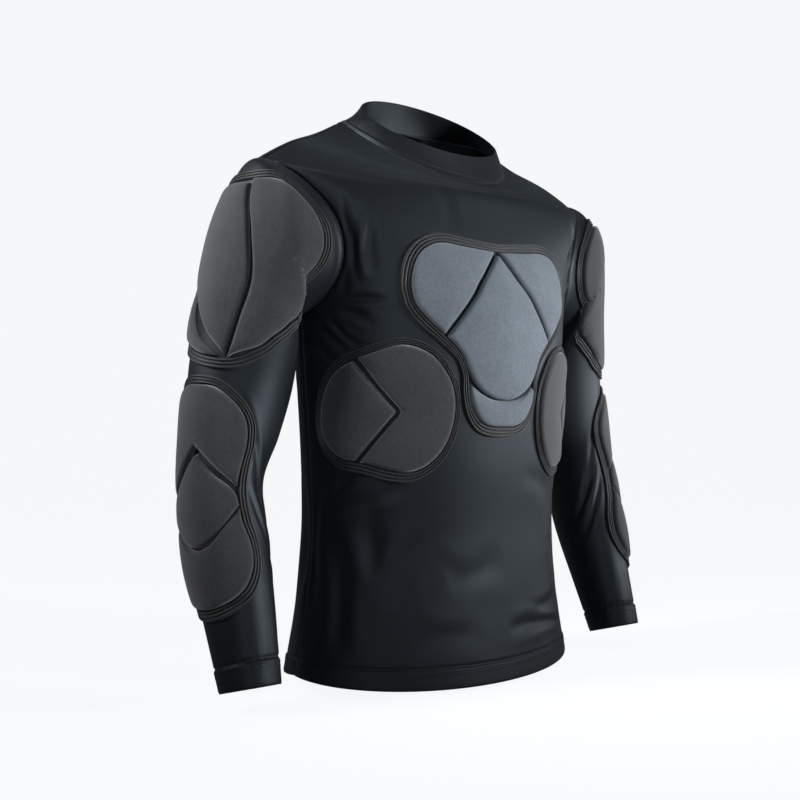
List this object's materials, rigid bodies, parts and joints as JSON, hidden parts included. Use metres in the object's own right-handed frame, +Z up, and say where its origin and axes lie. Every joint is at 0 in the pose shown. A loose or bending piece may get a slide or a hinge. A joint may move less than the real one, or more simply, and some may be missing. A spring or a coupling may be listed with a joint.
{
  "type": "padded long-sleeved compression shirt",
  "caption": "Close-fitting stretch shirt with a stand neckband, filled out as worn, with moulded foam pads on chest, ribs, shoulders and forearms",
  "frame": {"origin": "between the shoulders, at the height of the high points where the neckline meets the shoulder seams, on the plane of the side seams", "axes": "+Z up along the standing body, -Y to the front of the shirt, +X to the wearer's left"},
  "size_m": [0.672, 0.2738, 0.7211],
  "materials": {
    "stretch_knit": "satin black stretch knit",
    "chest_pad_cover": "matt blue-grey cloth over moulded foam",
    "dark_pad_cover": "matt dark grey cloth over moulded foam",
    "border_cord": "black corded binding"
  },
  "bodies": {
    "root": {"back": "stretch_knit", "chest_border": "border_cord", "chest_pad_left": "chest_pad_cover", "chest_pad_lower": "chest_pad_cover", "chest_pad_middle": "chest_pad_cover", "chest_pad_right": "chest_pad_cover", "collar": "stretch_knit", "forearm_border_left": "border_cord", "forearm_border_right": "border_cord", "forearm_pad_lower_left": "dark_pad_cover", "forearm_pad_lower_right": "dark_pad_cover", "forearm_pad_middle_left": "dark_pad_cover", "forearm_pad_middle_right": "dark_pad_cover", "forearm_pad_upper_left": "dark_pad_cover", "forearm_pad_upper_right": "dark_pad_cover", "front": "stretch_knit", "rib_border_left": "border_cord", "rib_border_right": "border_cord", "rib_pad_inner_left": "dark_pad_cover", "rib_pad_inner_right": "dark_pad_cover", "rib_pad_outer_left": "dark_pad_cover", "rib_pad_outer_right": "dark_pad_cover", "shoulder_border_left": "border_cord", "shoulder_border_right": "border_cord", "shoulder_pad_back_left": "dark_pad_cover", "shoulder_pad_back_right": "dark_pad_cover", "shoulder_pad_front_left": "dark_pad_cover", "shoulder_pad_front_right": "dark_pad_cover", "shoulder_pad_middle_left": "dark_pad_cover", "shoulder_pad_middle_right": "dark_pad_cover", "sleeve_left": "stretch_knit", "sleeve_right": "stretch_knit"}
  },
  "joints": []
}
